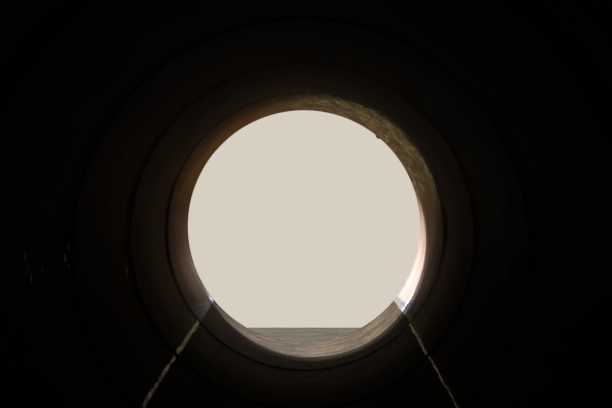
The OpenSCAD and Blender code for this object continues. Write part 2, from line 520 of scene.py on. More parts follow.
    # lime bled through at and between the joints, in short upright marks
    spots = [
        (7.50, -0.03, -1, 0.09, 0.06, 0.6),
        (8.50, -0.03, -1, 0.14, 0.08, 0.6),
        (5.16, -0.13, -1, 0.08, 0.05, 0.6),
        (6.48, -0.10, 1, 0.08, 0.05, 0.6),
        (9.90, -0.06, 1, 0.20, 0.10, 0.8),
        (10.90, 0.05, -1, 0.30, 0.12, 0.9),
        (12.60, -0.10, 1, 0.26, 0.12, 0.9),
        (2.55, 0.16, 1, 0.07, 0.10, 0.6),
    ]
    upright = g.noise(1.0, 4, 0.65, g.scaled(g.p, (5.0, 30.0, 5.0)))
    lime = g.mul(g.step(blotch(g, t, zr, x, spots), 0.05, 0.55), g.step(upright, 0.38, 0.52))
    base = g.mix(lime, base, (0.88, 0.86, 0.80))
    # dirt and painted shade beside the joints, darkest in the gaps
    inner = g.step(t, 3.4, 3.6)
    lean = g.step(x, -0.70, 0.70, -0.01, -0.16)
    lean = g.add(g.mul(lean, g.sub(1.0, inner)), g.mul(inner, g.step(x, -0.70, 0.70, -0.11, -0.155)))
    from_joint = g.math("PINGPONG", g.add(g.add(t, GAP / 2), lean), L / 2)
    from_joint = g.add(from_joint, g.step(t, 0.5, 0.4))
    joint_n = g.add(from_joint, g.mul(g.sub(med, 0.5), 0.08))
    joint_dirt_and_shade = g.step(joint_n, 0.290, 0.070, 0.0, 0.96)
    in_gap = g.math("PINGPONG", g.add(t, GAP / 2), L / 2)
    in_gap = g.add(in_gap, g.step(t, 0.5, 0.4))
    joint_dirt_and_shade = g.math("MAXIMUM", joint_dirt_and_shade, g.mul(g.step(in_gap, 0.070, 0.035), g.line(inner, 0.0, 1.0, 0.85, 0.55)))
    washed = g.add(g.step(x, -0.20, 0.30, 0.55, 0.12), g.mul(inner, 0.7))
    by_side = g.sub(zr, g.step(x, -0.20, 0.30, 0.0, 0.11))
    joint_dirt_and_shade = g.mul(joint_dirt_and_shade, g.step(by_side, -0.38, -0.12, g.math("MINIMUM", washed, 1.0), 1.0))
    up_to = g.add(g.step(x, 0.25, -0.25, 0.33, 0.48), g.mul(inner, 0.12))
    dry = g.math("DIVIDE", g.sub(zr, 0.05), up_to)
    joint_dirt_and_shade = g.mul(joint_dirt_and_shade, g.step(dry, 0.0, 1.0, 1.0, g.line(inner, 0.0, 1.0, 0.04, 0.34)))
    base = g.mix(joint_dirt_and_shade, base, (0.016, 0.009, 0.004))
    # the tide line
    h = g.add(g.add(zr, 0.472), g.mul(t, 0.009))
    wob = g.mul(g.sub(g.noise(5.0, 4, 0.6), 0.5), g.step(t, 2.4, 3.0, 0.013, 0.026))
    hw = g.add(h, wob)
    # damp above it
    base = g.mix(g.step(hw, 0.30, 0.03, 0.0, 0.32), base, (0.120, 0.095, 0.078))
    # blue-grey damp band in the last pipe, its blue partly painted sky light reflected from outside and paler where the
    # painted glow lies; moss in the others
    first = g.step(t, L + 0.02, L - 0.02)
    grey_top = g.add(0.014, g.mul(t, 0.031))
    grey_n = g.mul(g.sub(g.noise(9.0, 5, 0.7), 0.5), 0.09)
    grey = g.mul(g.step(g.add(g.sub(grey_top, hw), grey_n), -0.010, 0.012), first)
    speck = g.step(g.noise(24.0, 5, 0.75), 0.44, 0.60)
    grey_c = g.mix(
        g.math("MAXIMUM", g.step(x, 0.20, -0.20), g.mul(painted_glow_past_sun, 0.9)),
        g.mix(speck, (0.130, 0.134, 0.160), (0.280, 0.290, 0.345)),
        g.mix(speck, (0.210, 0.222, 0.300), (0.540, 0.570, 0.740)),
    )
    base = g.mix(g.mul(grey, 0.92), base, grey_c)
    foot = g.mul(g.step(x, 0.20, 0.40), g.mul(g.step(t, 1.9, 1.3), g.step(hw, 0.045, 0.010)))
    base = g.mix(g.mul(foot, 0.60), base, (0.070, 0.072, 0.086))
    lower = g.mul(g.step(x, -0.20, 0.20), g.step(t, 4.5, 5.1))
    moss_top = g.add(0.030, g.mul(g.noise(11.0, 4, 0.65), g.line(lower, 0.0, 1.0, 0.095, 0.035)))
    moss = g.mul(g.step(g.sub(moss_top, hw), -0.014, 0.014), g.sub(1.0, first))
    tuft = g.step(g.noise(32.0, 4, 0.7), 0.42, 0.62)
    moss_c = g.mix(
        g.step(x, -0.20, 0.20),
        g.mix(tuft, (0.165, 0.160, 0.062), (0.43, 0.42, 0.19)),
        g.mix(tuft, (0.155, 0.155, 0.120), (0.46, 0.46, 0.40)),
    )
    base = g.mix(g.mul(moss, g.sub(0.94, g.mul(joint_dirt_and_shade, 0.75))), base, moss_c)
    # silt and slime below it
    below = g.step(hw, 0.003, -0.007)
    silt_n = g.add(g.mul(g.noise(4.0, 4, 0.6), 0.6), g.mul(g.noise(30.0, 3, 0.6), 0.4))
    silt = g.ramp(
        silt_n,
        [
            (0.36, (0.026, 0.018, 0.010)),
            (0.52, (0.050, 0.036, 0.021)),
            (0.68, (0.092, 0.069, 0.042)),
        ],
    )
    deep = g.step(hw, -0.03, -0.20)
    silt = g.mix(g.mul(deep, 0.55), silt, g.mix(g.step(silt_n, 0.40, 0.60), (0.028, 0.022, 0.013), (0.080, 0.064, 0.040)))
    base = g.mix(g.mul(below, 0.95), base, silt)
    # pale line along the tide line, partly a pale deposit and partly a painted highlight of the wet edge
    edge = g.mul(g.step(hw, -0.005, 0.000), g.step(hw, 0.021, 0.012))
    edge = g.mul(edge, g.step(g.noise(19.0, 3, 0.6), 0.33, 0.46))
    edge = g.mul(edge, g.line(first, 0.0, 1.0, 1.0, g.step(t, 0.8, 1.8, 0.06, 0.40)))
    base = g.mix(edge, base, (0.72, 0.68, 0.40))
    # blow holes
    hole = g.math("MAXIMUM", pits(g, 38.0, 0.10), pits(g, 22.0, 0.025))
    base = g.mix(g.mul(hole, 0.75), base, (0.035, 0.028, 0.020))
    rough = g.sub(g.line(med, 0.3, 0.7, 0.76, 0.90), g.mul(g.step(hw, 0.10, 0.0), 0.06))
    dull = g.mul(g.step(zr, 0.10, -0.25), g.mul(g.step(t, 3.3, 4.6), 0.75))
    dull = g.math("MAXIMUM", dull, joint_dirt_and_shade)
    rough = g.add(rough, g.mul(dull, g.sub(1.0, rough)))
    height = g.add(
        g.add(g.mul(fine, 0.30), g.mul(med, 0.35)),
        g.add(g.mul(ring, 0.4), g.mul(film_and_painted_dapples, 0.35)),
    )
    height = g.sub(height, g.mul(hole, 1.8))
    height = g.add(height, g.mul(moss, g.noise(90.0, 3, 0.7)))
    height = g.add(height, g.mul(below, g.mul(g.noise(16.0, 4, 0.65), 1.6)))
    crust = g.math("MAXIMUM", g.mul(edge, 1.0), g.mul(g.math("MAXIMUM", moss, grey), 0.45))
    lumps = g.noise(1.0, 4, 0.7, g.scaled(g.p, (26.0, 12.0, 26.0)))
    normal = g.bump(g.mul(crust, lumps), 0.030, 1.0, g.bump(height, 0.0020, 0.9))
    return g.finish(base, rough, normal, gloss=0.009)


def slime_material():
    """The damp crust of lime and algae along the tide line."""
    g = Mat("tide_crust")
    n = g.noise(1.0, 4, 0.7, g.scaled(g.p, (30.0, 7.0, 30.0)))
    base = g.mix(g.step(n, 0.38, 0.58), (0.220, 0.190, 0.012), (0.760, 0.680, 0.120))
    height = g.add(g.noise(70.0, 4, 0.7), g.mul(g.noise(22.0, 3, 0.6), 1.5))
    g.bsdf.inputs["Transmission Weight"].default_value = 0.75
    g.bsdf.inputs["IOR"].default_value = 1.15
    return g.finish(base, g.line(n, 0.35, 0.65, 0.32, 0.56), g.bump(height, 0.004, 0.9), gloss=0.5)


def lime_material():
    """Lime that has run down a wall and set."""
    g = Mat("lime_run")
    n = g.noise(1.0, 4, 0.7, g.scaled(g.p, (60.0, 60.0, 18.0)))
    base = g.mix(g.step(n, 0.40, 0.60), (0.520, 0.490, 0.430), (0.820, 0.800, 0.750))
    return g.finish(base, g.line(n, 0.35, 0.65, 0.40, 0.65), g.bump(n, 0.003, 0.9), gloss=0.5)


def weathered(
    name,
    dark,
    mid,
    light,
    panels=None,
    streaks=0.5,
    top=0.5,
    tide=None,
    soil=0.0,
    seed=0.0,
    top_z=None,
    wing=False,
):
    """Concrete in the open. panels is the width and height of the formwork's
    boards, streaks how far dirt runs down from the top, top how much moss and
    lichen sits on upward faces, tide the height of the tide line, soil
    how much earth is left on the faces that were buried."""
    g = Mat(name)
    x, y, z = g.xyz(g.p)
    # along the wall, and how far in front of its buried face
    if wing:
        out_x = g.sub(g.math("ABSOLUTE", x), WING_START)
        fwd = g.sub(y, OUT)
        along = g.add(g.mul(out_x, math.sin(SPLAY)), g.mul(fwd, math.cos(SPLAY)))
        across = g.sub(g.mul(fwd, math.sin(SPLAY)), g.mul(out_x, math.cos(SPLAY)))
        front = g.step(across, -0.06, -0.03)
    elif tide is not None and panels is not None:
        along = x
        front = g.step(y, OUT - 0.06, OUT - 0.03)
    else:
        along, front = x, 1.0
    base, big, med, fine = concrete_colour(g, dark, mid, light, seed)
    geo = g.nt.nodes.new("ShaderNodeNewGeometry")
    _, _, nz = g.xyz(geo.outputs["Normal"])
    up = g.step(nz, 0.55, 0.85)
    side = g.sub(1.0, up)
    height = g.add(g.mul(fine, 0.35), g.mul(med, 0.45))
    # dirt washed down from above
    run = g.noise(1.0, 4, 0.62, g.scaled(g.p, (15.0, 15.0, 0.9)))
    run_big = g.noise(1.0, 3, 0.6, g.scaled(g.p, (3.5, 3.5, 0.5)))
    reach = g.step(run_big, 0.35, 0.62)
    if top_z is not None:
        down = g.sub(top_z, z)
        fade = g.step(down, 1.5, 0.0)
    else:
        fade = 0.7
    dirt = g.mul(g.mul(g.step(run, 0.44, 0.66), reach), g.mul(fade, side))
    base = g.mix(g.mul(dirt, streaks), base, (0.060, 0.056, 0.047))
    pale_run = g.mul(g.step(g.noise(1.0, 3, 0.6, g.scaled(g.p, (22.0, 22.0, 1.2))), 0.62, 0.74), side)
    base = g.mix(g.mul(pale_run, 0.30), base, (0.58, 0.56, 0.50))
    if panels is not None:
        w, hgt = panels
        u = g.math("PINGPONG", along, w / 2)
        vv = g.math("PINGPONG", z, hgt / 2)
        # plugged tie holes, two across each board
        tu = g.sub(g.math("PINGPONG", g.add(along, w / 4), w / 4), 0.0)
        tv = vv
        td = g.math("SQRT", g.add(g.mul(tu, tu), g.mul(tv, tv)))
        tie = g.mul(g.step(td, 0.0165, 0.0145), side)
        height = g.sub(height, g.mul(tie, 1.3))
        base = g.mix(g.mul(tie, 0.55), base, (0.20, 0.19, 0.17))
        below_tie = g.mul(g.step(tu, 0.012, 0.003), g.mul(side, g.step(g.noise(1.0, 2, 0.5, g.scaled(g.p, (3.0, 3.0, 2.0))), 0.50, 0.62)))
        base = g.mix(g.mul(below_tie, 0.22), base, (0.20, 0.13, 0.07))
        # board edges: a thin raised fin, and a dark line beside it
        du = g.step(u, w / 2 - 0.004, w / 2)
        dv = g.step(vv, hgt / 2 - 0.004, hgt / 2)
        seam = g.mul(g.math("MAXIMUM", du, dv), side)
        height = g.add(height, g.mul(seam, 1.4))
        base = g.mix(g.mul(seam, 0.35), base, (0.16, 0.15, 0.13))
        cell = g.vec(
            g.math("FLOOR", g.math("DIVIDE", g.add(along, w / 2), w)),
            g.math("FLOOR", g.math("DIVIDE", g.add(z, hgt / 2), hgt)),
            seed,
        )
        wn = g.nt.nodes.new("ShaderNodeTexWhiteNoise")
        wn.noise_dimensions = "3D"
        g.put(cell, wn.inputs["Vector"])
        tone = g.line(wn.outputs["Value"], 0.0, 1.0, 0.90, 1.07)
        base = g.mix(1.0, base, g.vec(tone, tone, tone), "MULTIPLY")
    # earth left on buried faces
    if soil > 0:
        s = g.mul(
            g.step(g.noise(2.2, 5, 0.7), 0.42, 0.66),
            g.step(z, 2.2, 0.2, 0.35, 1.0),
        )
        if not isinstance(front, float):
            s = g.mul(g.sub(1.0, front), g.add(g.mul(s, 0.6), 0.4))
        base = g.mix(g.mul(s, soil), base, (0.150, 0.112, 0.072))
    if tide is not None:
        wob = g.mul(g.sub(g.noise(5.0, 4, 0.6), 0.5), 0.05)
        hw = g.add(g.sub(z, tide), wob)
        base = g.mix(g.mul(front, g.step(hw, 0.30, 0.02, 0.0, 0.45)), base, (0.12, 0.105, 0.085))
        moss = g.mul(front, g.step(hw, 0.085, 0.055))
        moss_c = g.mix(g.step(g.noise(40.0, 3, 0.6), 0.4, 0.6), (0.050, 0.050, 0.020), (0.13, 0.12, 0.055))
        base = g.mix(g.mul(moss, 0.8), base, moss_c)
        line_ = g.mul(g.mul(front, g.step(hw, 0.0, 0.005)), g.step(hw, 0.026, 0.012))
        base = g.mix(g.mul(line_, g.step(g.noise(20.0, 3, 0.6), 0.38, 0.52)), base, (0.45, 0.41, 0.29))
        silt = g.ramp(
            g.add(g.mul(g.noise(4.0, 4, 0.6), 0.6), g.mul(g.noise(30.0, 3, 0.6), 0.4)),
            [(0.38, (0.060, 0.050, 0.030)), (0.52, (0.125, 0.105, 0.068)), (0.66, (0.20, 0.175, 0.125))],
        )
        base = g.mix(g.mul(front, g.mul(g.step(hw, 0.005, -0.012), 0.9)), base, silt)
    if top > 0:
        m_n = g.noise(5.5, 5, 0.7)
        moss = g.mul(g.step(m_n, 0.48, 0.60), up)
        tint = g.mix(g.step(g.noise(45.0, 3, 0.6), 0.4, 0.6), (0.045, 0.050, 0.022), (0.12, 0.125, 0.055))
        base = g.mix(g.mul(moss, top), base, tint)
        height = g.add(height, g.mul(moss, g.mul(g.noise(70.0, 3, 0.7), 1.2)))
        d, col = g.voronoi(11.0)
        r, _, _ = g.xyz(col)
        spot = g.step(g.sub(g.line(r, 0.72, 1.0, 0.0, 0.34), g.add(d, g.mul(g.sub(med, 0.5), 0.35))), 0.0, 0.05)
        spot = g.mul(spot, g.add(g.mul(up, 0.8), 0.10))
        base = g.mix(g.mul(spot, top), base, (0.50, 0.52, 0.44))
    hole = g.math("MAXIMUM", pits(g, 48.0, 0.10), pits(g, 25.0, 0.030))
    base = g.mix(g.mul(hole, 0.7), base, (0.045, 0.040, 0.032))
    height = g.sub(height, g.mul(hole, 1.6))
    rough = g.line(med, 0.3, 0.7, 0.82, 0.95)
    return g.finish(base, rough, g.bump(height, 0.0035, 0.9))


def mortar_material():
    g = Mat("collar_mortar")
    base, big, med, fine = concrete_colour(g, (0.17, 0.155, 0.13), (0.27, 0.25, 0.22), (0.38, 0.36, 0.32), 3.0)
    height = g.add(g.mul(g.noise(28.0, 5, 0.7), 1.2), g.mul(fine, 0.6))
    crack_d, _ = g.voronoi(5.0, feature="DISTANCE_TO_EDGE")
    crack = g.step(crack_d, 0.012, 0.002)
    base = g.mix(g.mul(crack, 0.8), base, (0.04, 0.035, 0.03))
    return g.finish(base, g.line(med, 0.3, 0.7, 0.85, 0.96), g.bump(g.sub(height, crack), 0.005, 1.0))


def rubber_material():
    g = Mat("joint_rubber")
    n = g.noise(25.0, 3, 0.6)
    base = g.ramp(n, [(0.35, (0.012, 0.012, 0.013)), (0.6, (0.028, 0.028, 0.030)), (0.75, (0.075, 0.068, 0.058))])
    return g.finish(base, g.line(n, 0.3, 0.7, 0.55, 0.80), g.bump(g.noise(120.0, 2, 0.6), 0.0006, 0.6))


BORE = bore_material()
OUTER = weathered(
    "pipe_outside", (0.25, 0.235, 0.21), (0.37, 0.35, 0.315), (0.46, 0.44, 0.40),
    streaks=0.30, top=0.0, soil=0.65, seed=1.0, top_z=2.0,
)
WALL_M = weathered(
    "headwall_concrete", (0.25, 0.238, 0.215), (0.38, 0.365, 0.335), (0.48, 0.465, 0.43),
    panels=(1.2, 0.6), streaks=0.75, top=0.3, tide=0.556, soil=0.8, seed=5.0, top_z=2.35,
)
WING_M = weathered(
    "wing_concrete", (0.24, 0.228, 0.205), (0.37, 0.355, 0.325), (0.47, 0.455, 0.42),
    panels=(1.2, 0.6), streaks=0.7, top=0.3, tide=0.556, soil=0.8, seed=9.0, top_z=2.3,
    wing=True,
)
COPING_M = weathered(
    "coping_concrete", (0.26, 0.25, 0.225), (0.40, 0.385, 0.35), (0.50, 0.485, 0.445),
    streaks=0.55, top=0.75, seed=13.0, top_z=2.6,
)
APRON_M = weathered(
    "apron_concrete", (0.16, 0.14, 0.105), (0.25, 0.222, 0.170), (0.34, 0.31, 0.25),
    streaks=0.2, top=0.12, tide=0.556, seed=21.0,
)
SLIME = slime_material()
LIME = lime_material()
MORTAR = mortar_material()
RUBBER = rubber_material()


# ---------------------------------------------------------------- pipes
def settled(place, t, a):
    """How far the bore's wall lies outside its line, t from the pipe's
    outlet end. The first two pipes meet a little to the right of the line,
    and low, and the second's other end sits a little high."""
    if place > 2:
        return 0.0 * t * a
    f = np.clip(t / L if place == 1 else 1 - t / L, 0, 1)
    out = (0.010 * np.cos(a) - 0.005 * np.sin(a)) * f * f * (3 - 2 * f)
    if place == 2:
        f = np.clip((t - L + 0.9) / 0.9, 0, 1)
        out = out + 0.004 * np.sin(a) * f * f * (3 - 2 * f)
    return out


def pipe(place, n):
    y_end = OUT - (place - 1) * L
    body, mouth = L - GAP, L + DEPTH
    rng = np.random.default_rng(100 + place)
    th = np.linspace(-math.pi, math.pi, n, endpoint=False)
    ring = np.stack([np.cos(th), np.sin(th), np.full(n, 1.0)], axis=1)

    def rough(scale, seed, amp):
        p = ring * scale
        p[:, 2] = place * 3.7 + seed
        return amp * fbm(p, seed, 3, 0.6)

    def edge(base, seed, small, large, radius):
        c = base + rough(22.0, seed, 0.0030) + rough(6.0, seed + 5, 0.0020)
        c = c + chips(rng, th, radius, small, (0.012, 0.035), (0.003, 0.010))
        c = c + chips(rng, th, radius, large, (0.030, 0.080), (0.008, 0.020))
        return np.maximum(c, 0.004)

    in_down = edge({2: 0.024, 3: 0.022}.get(place, 0.013), 11, 16, 4, R)
    in_up = edge({1: 0.034, 2: 0.032}.get(place, 0.022), 23, 16, 4, R)
    mouth_in = edge(0.011, 31, 10, 2, RS)
    mouth_out = edge(0.017, 43, 14, 4, RB)
    if place == 1:
        # the broken place high on the right of the outlet's rim
        d = wrap(th - math.radians(52.7)) / (0.030 / R)
        in_down = in_down + 0.012 * np.clip(1 - d * d, 0, 1)
    fine = [0.003, 0.008, 0.018, 0.035]
    long_rows = 56 if place <= 4 else 44
    out_rows = 34 if place <= 4 else 26
    spigot = place > 1
    corners = [
        (R, 0.0, in_down, 0.20, ends_fine(long_rows, fine, body), 0),
        (R, body, in_up, 0.20, even(4), 0 if place < 6 else 1),
        (RS, body, 0.006, 0.3, even(3), 1),
        (RS, mouth, mouth_in, 0.2, even(4), 1),
        (RB, mouth, mouth_out, 0.35, even(9), 1),
        (RB, mouth - SOCKET_L, 0.020, 0.3, even(5), 1),
        (RO, mouth - SOCKET_L - TAPER_L, 0.030, 0.3, even(out_rows), 1),
    ]
    if spigot:
        corners += [
            (RO, RING_AT + RING_W, 0.002, 0.0, [], 1),
            (RO - RING_T, RING_AT + RING_W, 0.002, 0.0, [], 1),
            (RO - RING_T, RING_AT, 0.002, 0.0, [], 1),
            (RO, RING_AT, 0.002, 0.0, [], 1),
            (RO, 0.0, 0.014, 0.2, even(3), 1),
        ]
    else:
        corners += [(RO, 0.0, 0.004, 0.2, even(4), 1)]

    def shape(a, r, t, e):
        flat = np.stack(
            [r * np.cos(a), r * np.sin(a), t + place * 7.31], axis=-1
        ).reshape(-1, 3)
        bore = (e >= -0.5) & (e <= 0.5)
        bore = np.broadcast_to(bore[None, :], r.shape)
        # casting rings and slow waves on the bore
        rings = noise3(flat * (0.4, 0.4, 7.0), 3).reshape(r.shape)
        waves = fbm(flat * 2.3, 5, 3).reshape(r.shape)
        small = fbm(flat * 14.0, 8, 2).reshape(r.shape)
        away = np.clip(np.minimum(t, L - GAP - t) / 0.10, 0, 1)
        d_bore = (0.0005 * rings + 0.0011 * waves + 0.0003 * small) * away
        d_bore = d_bore + settled(place, t, a)
        spall = noise3(flat * 3.1, 61).reshape(r.shape)
        outside = (e >= 4) & (e <= 6.5) | (e >= 10.5)
        outside = np.broadcast_to(outside[None, :], r.shape)
        hidden = (t < 0.11) & spigot
        d_out = -(0.0016 + 0.0014 * waves + 0.0006 * small)
        d_out = d_out - 0.007 * smooth(spall, 0.50, 0.70)
        seam = np.exp(-((np.abs(wrap(a - 0.02)) / 0.012) ** 2)) + np.exp(
            -((np.abs(wrap(a - math.pi + 0.02)) / 0.012) ** 2)
        )
        d_out = d_out + 0.0016 * seam * (e == 6)[None, :]
        r = r + np.where(bore, d_bore, 0.0)
        r = r + np.where(outside & ~hidden & (e > 3)[None, :], d_out, 0.0)
        if place == 1:
            # a lump left on the rim beside the broken place
            lump = np.exp(
                -((wrap(a - math.radians(50.5)) / 0.016) ** 2) - ((t - 0.02) / 0.03) ** 2
            )
            r = r - np.where(bore, 0.013 * lump, 0.0)
        return r, t

    return turned(f"culvert_pipe_{place}", corners, n, y_end, [BORE, OUTER], shape)


# ---------------------------------------------------------------- blocks
def remeshed(v, faces, voxel):
    """A closed solid remade as an even net of small quads."""
    me = bpy.data.meshes.new("tmp")
    me.from_pydata([tuple(p) for p in v], [], faces)
    me.update()
    ob = bpy.data.objects.new("tmp", me)
    bpy.context.scene.collection.objects.link(ob)
    mod = ob.modifiers.new("remesh", "REMESH")
    mod.mode = "VOXEL"
    mod.voxel_size = voxel
    mod.adaptivity = 0.0
    dg = bpy.context.evaluated_depsgraph_get()
    done = bpy.data.meshes.new_from_object(ob.evaluated_get(dg))
    bpy.data.objects.remove(ob)
    bpy.data.meshes.remove(me)
    co = np.zeros(len(done.vertices) * 3, np.float32)
    done.vertices.foreach_get("co", co)
    nm = np.zeros(len(done.vertices) * 3, np.float32)
    done.vertices.foreach_get("normal", nm)
    sizes = np.zeros(len(done.polygons), np.int32)
    done.polygons.foreach_get("loop_total", sizes)
    idx = np.zeros(len(done.loops), np.int32)
    done.loops.foreach_get("vertex_index", idx)
    if not (sizes == 4).all():
        raise RuntimeError("the remeshed solid has faces that are not quads")
    bpy.data.meshes.remove(done)
    return co.reshape(-1, 3).astype(float), nm.reshape(-1, 3).astype(float), idx.reshape(-1, 4)


def turn(v, angle, origin):
    c, s = math.cos(angle), math.sin(angle)
    out = v.copy()
    out[:, 0] = c * v[:, 0] - s * v[:, 1] + origin[0]
    out[:, 1] = s * v[:, 0] + c * v[:, 1] + origin[1]
    return out


def turn_back(v, angle, origin):
    w = v - np.array([origin[0], origin[1], 0.0])
    c, s = math.cos(-angle), math.sin(-angle)
    out = w.copy()
    out[:, 0] = c * w[:, 0] - s * w[:, 1]
    out[:, 1] = s * w[:, 0] + c * w[:, 1]
    return out


def face_planes(v, faces):
    """Outward normals and offsets of a solid's flat faces."""
    v = np.asarray(v, float)
    centre = v.mean(0)
    out = []
    for f in faces:
        a, b, c = v[f[0]], v[f[1]], v[f[2]]
        n = np.cross(b - a, c - a)
        n = n / np.linalg.norm(n)
        if n @ (a - centre) < 0:
            n = -n
        out.append((n, float(n @ a)))
    return out


def weather(v, planes, seed, arris=0.010, chip=0.030, wave=0.0012, quiet=()):
    """Rounds and chips a convex solid's edges, inwards only, and dents its
    faces a little. Edges between the planes listed in quiet stay whole."""
    n = len(v)
    dist = np.stack([off - v @ nrm for nrm, off in planes], axis=1)
    dist = np.maximum(dist, 0)
    order = np.argsort(dist, axis=1)
    i1, i2 = order[:, 0], order[:, 1]
    rows = np.arange(n)
    d1, d2 = dist[rows, i1], dist[rows, i2]
    normals = np.stack([nrm for nrm, _ in planes])
    n1, n2 = normals[i1], normals[i2]
    # broken bits: noise along the edge
    a = noise3(v * 9.0, seed)
    b = noise3(v * 24.0, seed + 3)
    c = arris + 0.003 * b + chip * smooth(a, 0.30, 0.75) * (0.7 + 0.6 * b)
    c = c + 0.9 * chip * smooth(noise3(v * 3.3, seed + 9), 0.55, 0.80)
    for q in quiet:
        c = np.where((i1 == q) | (i2 == q), 0.004, c)
    need = np.clip(c - (d1 + d2), 0, None)
    out_dir = n1 + n2
    out_dir = out_dir / np.maximum(np.linalg.norm(out_dir, axis=1, keepdims=True), 1e-6)
    v = v - out_dir * (need / 1.414)[:, None]
    # dents in the faces
    w = fbm(v * 2.1, seed + 20, 3)
    s = fbm(v * 17.0, seed + 30, 2)
    dent = wave * (0.9 + w) + 0.0005 * (1 + s)
    big = noise3(v * 2.7, seed + 40)
    dent = dent + 0.006 * smooth(big, 0.55, 0.75)
    return v - n1 * dent[:, None]


def inside(co, lo, hi):
    """Points beyond a box, turned back a little way into it."""
    lo, hi = np.array(lo), np.array(hi)
    co = np.where(co < lo, lo + 0.3 * (lo - co), co)
    return np.where(co > hi, hi - 0.3 * (co - hi), co)


def block(name, v, faces, voxel, material, node, slot, angle=0.0, origin=(0, 0), seed=1, flip=False, **how):
    """A convex solid given by its corners, in its own straight axes, then
    turned into place; flip mirrors it to the left-hand side."""
    v = np.asarray(v, float)
    planes = face_planes(v, faces)
    co, nm, quads = remeshed(v, faces, voxel)
    co = weather(co, planes, seed, **how)
    co = turn(co, angle, origin)
    if flip:
        co[:, 0] *= -1
    if volume_of(co, quads) < 0:
        quads = quads[:, ::-1]
    co = inside(co, *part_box(node))
    ob = make_object(name, co, quads, None, [material], 40.0)
    bm = bmesh.new()
    bm.from_mesh(ob.data)
    bmesh.ops.remove_doubles(bm, verts=bm.verts, dist=2e-5)
    bm.to_mesh(ob.data)
    bm.free()
    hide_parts(node)
    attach(ob, "root")
    return ob


def prism(outline, a, b, axis):
    """Corners and faces of a straight bar whose end face is outline (in the
    two axes other than axis), from a to b along axis."""
    n = len(outline)
    v = []
    for w in (a, b):
        for p in outline:
            q = [p[0], p[1]]
            q.insert(axis, w)
            v.append(q)
    faces = [list(range(n)), list(range(2 * n - 1, n - 1, -1))]
    faces += [[(i + 1) % n, i, n + i, n + (i + 1) % n] for i in range(n)]
    return v, faces


def headwall():
    """The stem, with its round hole."""
    lo, hi = np.array(hw_lo), np.array(hw_hi)
    cx, cz = 0.0, AX
    n = 256
    ang = np.linspace(-math.pi, math.pi, n, endpoint=False)
    extra = [math.atan2(z - cz, x) for x in (lo[0], hi[0]) for z in (lo[2], hi[2])]
    ang = np.array(sorted(set(ang.tolist() + extra)))
    n = len(ang)
    c, s = np.cos(ang), np.sin(ang)
    with np.errstate(divide="ignore"):
        tx = np.where(c > 0, hi[0] / c, np.where(c < 0, lo[0] / c, 1e9))
        tz = np.where(s > 0, (hi[2] - cz) / s, np.where(s < 0, (lo[2] - cz) / s, 1e9))
    far = np.minimum(tx, tz)
    v = []
    for y in (hi[1], lo[1]):
        v += [(COLLAR_R * a, y, cz + COLLAR_R * b) for a, b in zip(c, s)]
        v += [(f * a, y, cz + f * b) for a, b, f in zip(c, s, far)]
    faces = []
    for i in range(n):
        j = (i + 1) % n
        faces.append([i, j, n + j, n + i])
        faces.append([2 * n + j, 2 * n + i, 3 * n + i, 3 * n + j])
        faces.append([n + i, n + j, 3 * n + j, 3 * n + i])
        faces.append([j, i, 2 * n + i, 2 * n + j])
    co, nm, quads = remeshed(v, faces, 0.021)
    planes = [
        (np.array([1.0, 0, 0]), hi[0]),
        (np.array([-1.0, 0, 0]), -lo[0]),
        (np.array([0, 1.0, 0]), hi[1]),
        (np.array([0, -1.0, 0]), -lo[1]),
        (np.array([0, 0, 1.0]), hi[2]),
        (np.array([0, 0, -1.0]), -lo[2]),
    ]
    rr = np.hypot(co[:, 0], co[:, 2] - cz)
    wall = rr < COLLAR_R + 0.004
    kept = co.copy()
    co = weather(co, planes, 301, quiet=(4, 5))
    co[wall] = kept[wall]
    f = COLLAR_R / np.maximum(rr[wall], 1e-6)
    co[wall, 0] *= f
    co[wall, 2] = cz + (co[wall, 2] - cz) * f
    if volume_of(co, quads) < 0:
        quads = quads[:, ::-1]
    co = inside(co, lo, hi)
    ob = make_object("headwall_stem", co, quads, None, [WALL_M], 40.0)
    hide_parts("headwall")
    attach(ob, "root")
    return ob


# ---------------------------------------------------------------- assembly
for place in range(1, 7):
    ob = pipe(place, {1: 360, 2: 360, 3: 300, 4: 300}.get(place, 240))
    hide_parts(f"pipe_{place}")
    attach(ob, "root")



